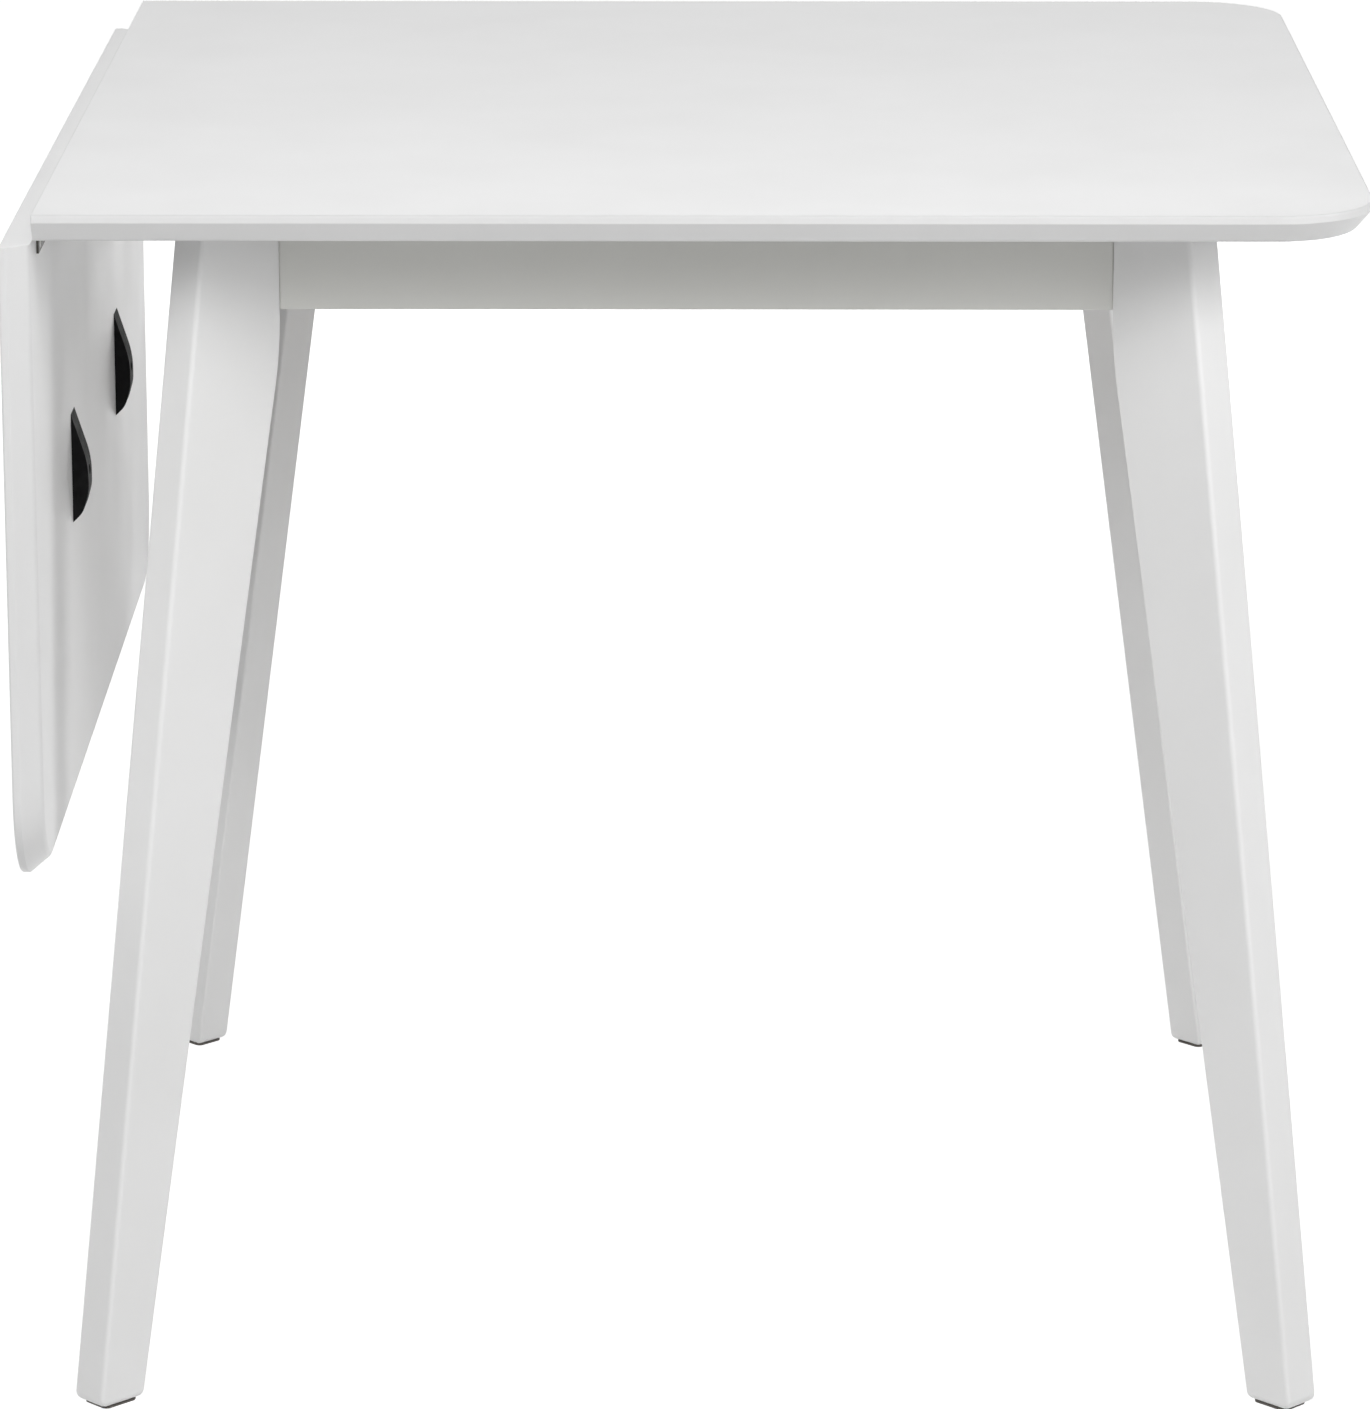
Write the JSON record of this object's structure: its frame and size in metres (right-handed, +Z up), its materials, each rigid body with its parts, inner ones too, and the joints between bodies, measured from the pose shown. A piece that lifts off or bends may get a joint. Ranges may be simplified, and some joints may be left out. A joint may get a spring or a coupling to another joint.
{
  "type": "drop-leaf dining table",
  "caption": "White lacquered drop-leaf dining table: square top on splayed diagonal legs, with a hinged leaf hanging at its edge and pull-out supports hidden under the top.",
  "frame": {"origin": "on the floor under the middle of the table with its leaf down", "axes": "+Z up, -Y to the front, -X to the hinged leaf"},
  "size_m": [0.82, 0.8, 0.76],
  "materials": {
    "white_lacquer": "satin white lacquer on board",
    "beech": "planed, unlacquered",
    "black_plastic": "moulded, matt",
    "dark_glide": "hard nylon glide, matt",
    "hinge_steel": "dark oiled steel",
    "zinc_steel": "zinc plated",
    "aluminium": "mill finish extrusion"
  },
  "bodies": {
    "frame": {"apron_back": "white_lacquer", "apron_front": "white_lacquer", "apron_left": "white_lacquer", "apron_right": "white_lacquer", "corner_block_back_left": "beech", "corner_block_back_right": "beech", "corner_block_front_left": "beech", "corner_block_front_right": "beech", "corner_block_screws": "zinc_steel", "foot_glide_back_left": "dark_glide", "foot_glide_back_right": "dark_glide", "foot_glide_front_left": "dark_glide", "foot_glide_front_right": "dark_glide", "hanger_bolts": "zinc_steel", "hinge_back_pin": "hinge_steel", "hinge_back_top_plate": "hinge_steel", "hinge_front_pin": "hinge_steel", "hinge_front_top_plate": "hinge_steel", "hinge_middle_pin": "hinge_steel", "hinge_middle_top_plate": "hinge_steel", "hinge_top_screws": "zinc_steel", "leg_back_left": "white_lacquer", "leg_back_right": "white_lacquer", "leg_front_left": "white_lacquer", "leg_front_right": "white_lacquer", "leg_nuts": "zinc_steel", "leg_washers": "zinc_steel", "slide_channel_back": "aluminium", "slide_channel_front": "aluminium", "slide_channel_screws": "zinc_steel", "stop_batten": "beech", "stop_batten_screws": "zinc_steel", "table_top": "white_lacquer", "top_screws": "zinc_steel"},
    "leaf": {"drop_leaf": "white_lacquer", "hinge_back_leaf_plate": "hinge_steel", "hinge_front_leaf_plate": "hinge_steel", "hinge_leaf_screws": "zinc_steel", "hinge_middle_leaf_plate": "hinge_steel", "ramp_pad_back": "black_plastic", "ramp_pad_front": "black_plastic", "ramp_pad_screws": "zinc_steel"},
    "front_runner": {"slide_runner_front": "aluminium"},
    "back_runner": {"slide_runner_back": "aluminium"},
    "front_bar": {"support_bar_front": "beech"},
    "back_bar": {"support_bar_back": "beech"}
  },
  "joints": [
    {"name": "leaf_hinge", "type": "hinge", "parent": "frame", "child": "leaf", "pos_m": [-0.3905, 0, 0.7405], "axis": [0, 1, 0], "range_deg": [0, 90]},
    {"name": "front_runner_slide", "type": "slide", "parent": "frame", "child": "front_runner", "axis": [-1, 0, 0], "range_m": [0, 0.21]},
    {"name": "back_runner_slide", "type": "slide", "parent": "frame", "child": "back_runner", "axis": [-1, 0, 0], "range_m": [0, 0.21]},
    {"name": "front_bar_slide", "type": "slide", "parent": "front_runner", "child": "front_bar", "axis": [-1, 0, 0], "range_m": [0, 0.126]},
    {"name": "back_bar_slide", "type": "slide", "parent": "back_runner", "child": "back_bar", "axis": [-1, 0, 0], "range_m": [0, 0.126]}
  ],
  "couplings": [
    {"joint": "front_runner_slide", "follows": "leaf_hinge", "m_per_rad": 0.13369},
    {"joint": "back_runner_slide", "follows": "leaf_hinge", "m_per_rad": 0.13369}
  ]
}
